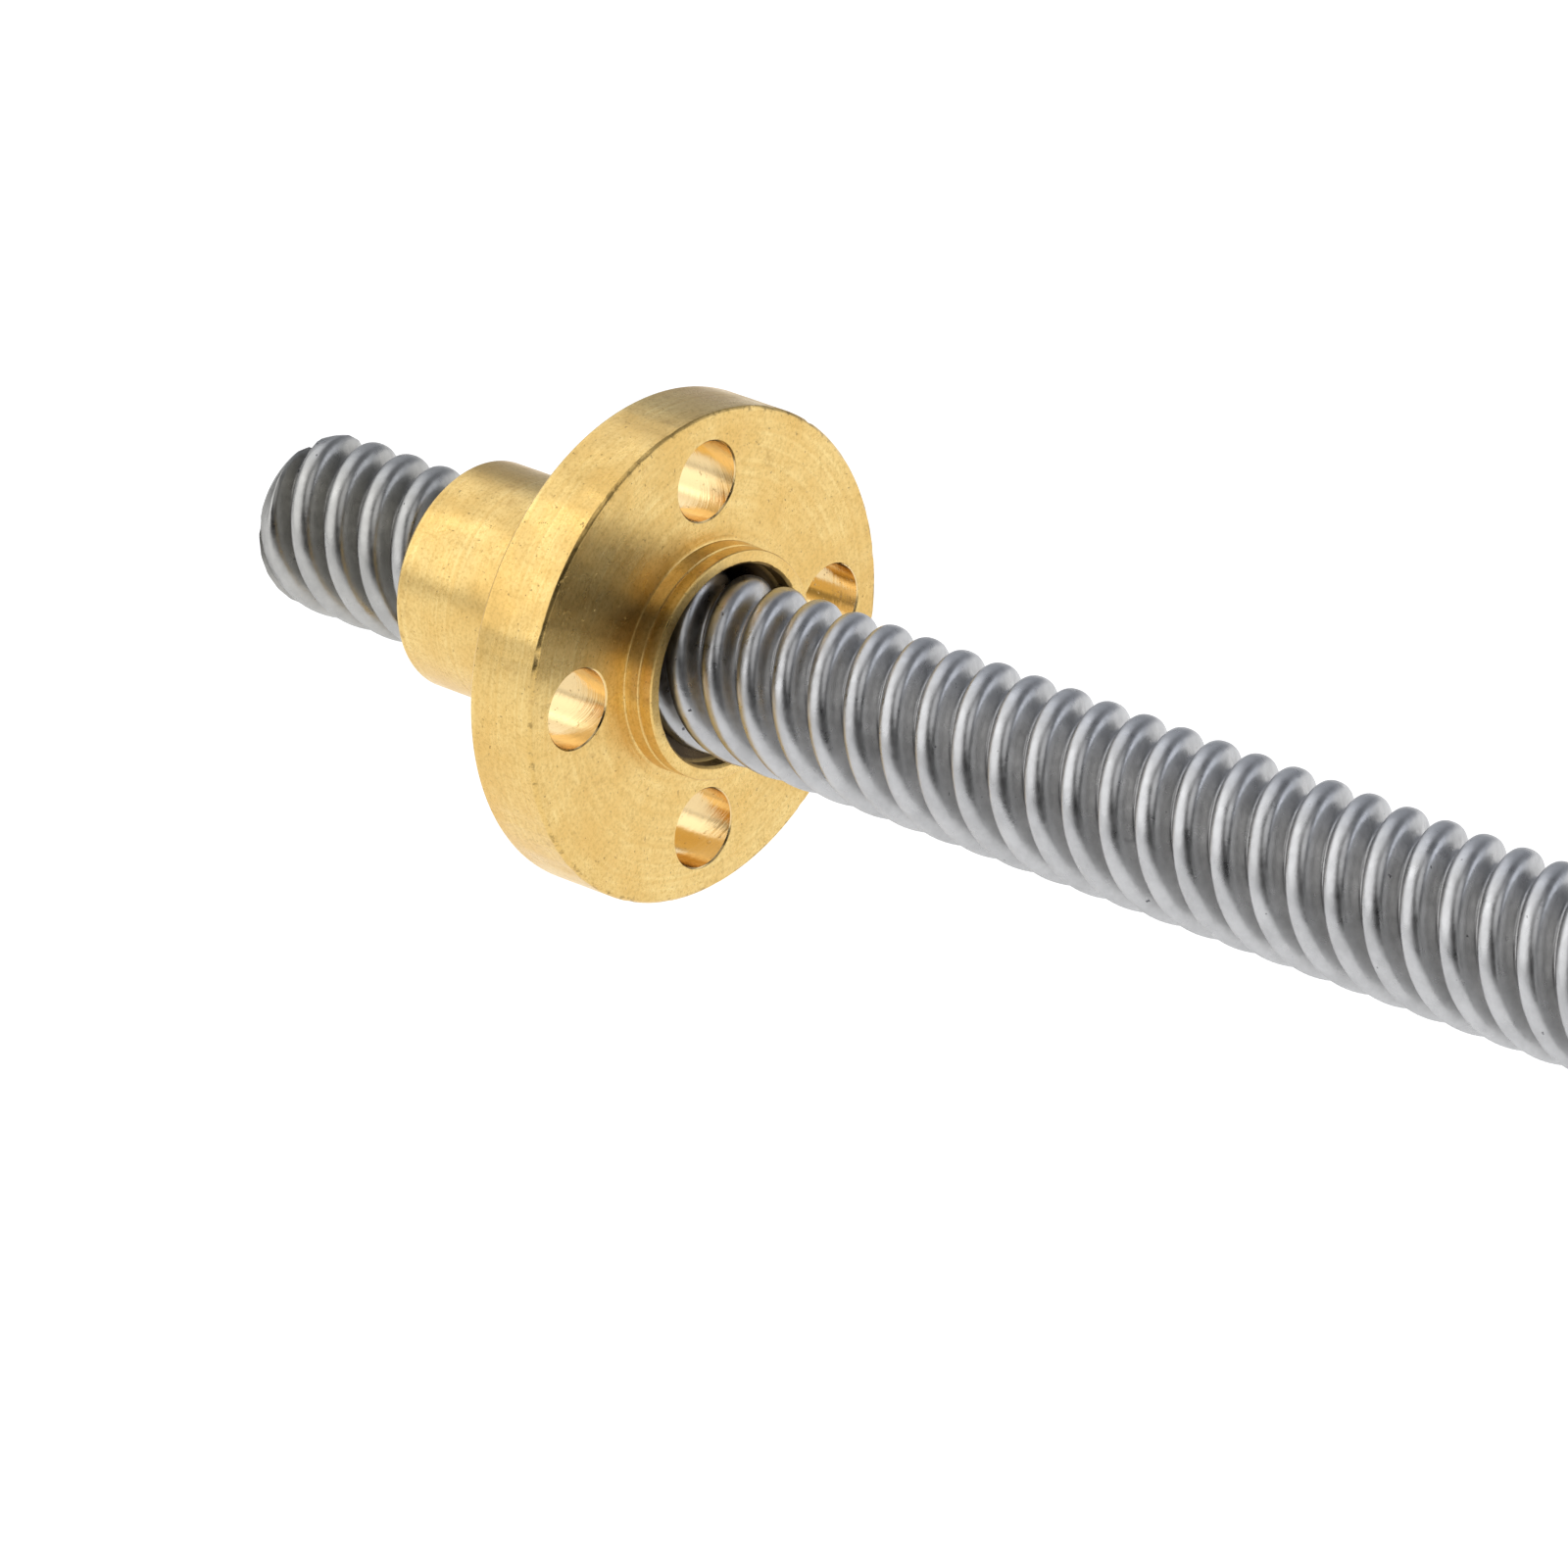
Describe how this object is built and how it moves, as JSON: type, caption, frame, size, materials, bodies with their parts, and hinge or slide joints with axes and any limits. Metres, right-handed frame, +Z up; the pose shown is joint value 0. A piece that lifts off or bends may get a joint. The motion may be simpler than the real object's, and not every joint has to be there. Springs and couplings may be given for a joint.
{
  "type": "stepper motor with lead screw",
  "caption": "Square-framed hybrid stepper motor whose shaft is a long multi-start lead screw, carrying a round flanged brass nut; connector socket on one side.",
  "frame": {"origin": "centre of the motor's closed rear face, on the shaft's axis", "axes": "+X out of the rear face, so the screw runs along -X; +Z up, with the motor lying on a flat side; the connector faces -Y"},
  "size_m": [0.14, 0.0468, 0.0424],
  "materials": {
    "cast_aluminium": "die-cast and machined, satin",
    "lamination_steel": "stacked silicon-steel sheets with a black coat",
    "rotor_steel": "ground sheet steel",
    "magnet": "sintered, dark grey",
    "copper_winding": "enamelled copper wire",
    "screw_steel": "rolled thread, satin",
    "brass": "turned brass, satin with fine turning marks",
    "cage_brass": "pressed brass",
    "bearing_steel": "ground and polished",
    "zinc_plated_steel": "zinc plated",
    "black_nylon": "moulded, matt",
    "ivory_nylon": "moulded, ivory",
    "circuit_board": "green solder resist",
    "tinned_pin": "tin plated"
  },
  "bodies": {
    "motor_housing": {"rear_end_cap": "cast_aluminium", "front_end_cap": "cast_aluminium", "stator_stack": "lamination_steel", "rear_insulator": "black_nylon", "front_insulator": "black_nylon", "coil_1": "copper_winding", "coil_2": "copper_winding", "coil_3": "copper_winding", "coil_4": "copper_winding", "coil_5": "copper_winding", "coil_6": "copper_winding", "coil_7": "copper_winding", "coil_8": "copper_winding", "wave_washer": "bearing_steel", "terminal_board": "circuit_board", "connector_housing": "ivory_nylon", "connector_pin_1": "tinned_pin", "connector_pin_2": "tinned_pin", "connector_pin_3": "tinned_pin", "connector_pin_4": "tinned_pin", "motor_screw_1": "zinc_plated_steel", "motor_screw_2": "zinc_plated_steel", "motor_screw_3": "zinc_plated_steel", "motor_screw_4": "zinc_plated_steel", "rear_bearing_outer_ring": "bearing_steel", "rear_bearing_rear_shield": "bearing_steel", "rear_bearing_front_shield": "bearing_steel", "front_bearing_outer_ring": "bearing_steel", "front_bearing_rear_shield": "bearing_steel", "front_bearing_front_shield": "bearing_steel"},
    "screw_rotor": {"lead_screw": "screw_steel", "rear_rotor_cup": "rotor_steel", "front_rotor_cup": "rotor_steel", "rotor_magnet": "magnet", "rear_spacer": "zinc_plated_steel", "front_spacer": "zinc_plated_steel", "rear_bearing_inner_ring": "bearing_steel", "front_bearing_inner_ring": "bearing_steel"},
    "rear_ball_cage": {"rear_bearing_cage": "cage_brass", "rear_bearing_ball_1": "bearing_steel", "rear_bearing_ball_2": "bearing_steel", "rear_bearing_ball_3": "bearing_steel", "rear_bearing_ball_4": "bearing_steel", "rear_bearing_ball_5": "bearing_steel", "rear_bearing_ball_6": "bearing_steel", "rear_bearing_ball_7": "bearing_steel"},
    "front_ball_cage": {"front_bearing_cage": "cage_brass", "front_bearing_ball_1": "bearing_steel", "front_bearing_ball_2": "bearing_steel", "front_bearing_ball_3": "bearing_steel", "front_bearing_ball_4": "bearing_steel", "front_bearing_ball_5": "bearing_steel", "front_bearing_ball_6": "bearing_steel", "front_bearing_ball_7": "bearing_steel"},
    "flanged_nut": {"lead_nut": "brass"}
  },
  "joints": [
    {"name": "screw_spin", "type": "hinge", "parent": "motor_housing", "child": "screw_rotor", "pos_m": [0, 0, 0], "axis": [-1, 0, 0], "range_deg": [-360, 3060]},
    {"name": "nut_travel", "type": "slide", "parent": "motor_housing", "child": "flanged_nut", "axis": [1, 0, 0], "range_m": [-0.0081, 0.0681]},
    {"name": "rear_cage_spin", "type": "hinge", "parent": "motor_housing", "child": "rear_ball_cage", "pos_m": [-0.0058, 0, 0], "axis": [-1, 0, 0], "range_deg": [-140, 1140]},
    {"name": "front_cage_spin", "type": "hinge", "parent": "motor_housing", "child": "front_ball_cage", "pos_m": [-0.036, 0, 0], "axis": [-1, 0, 0], "range_deg": [-140, 1140]}
  ],
  "couplings": [
    {"joint": "nut_travel", "follows": "screw_spin", "m_per_rad": 0.0012732},
    {"joint": "rear_cage_spin", "follows": "screw_spin", "ratio": 0.37143},
    {"joint": "front_cage_spin", "follows": "screw_spin", "ratio": 0.37143}
  ]
}
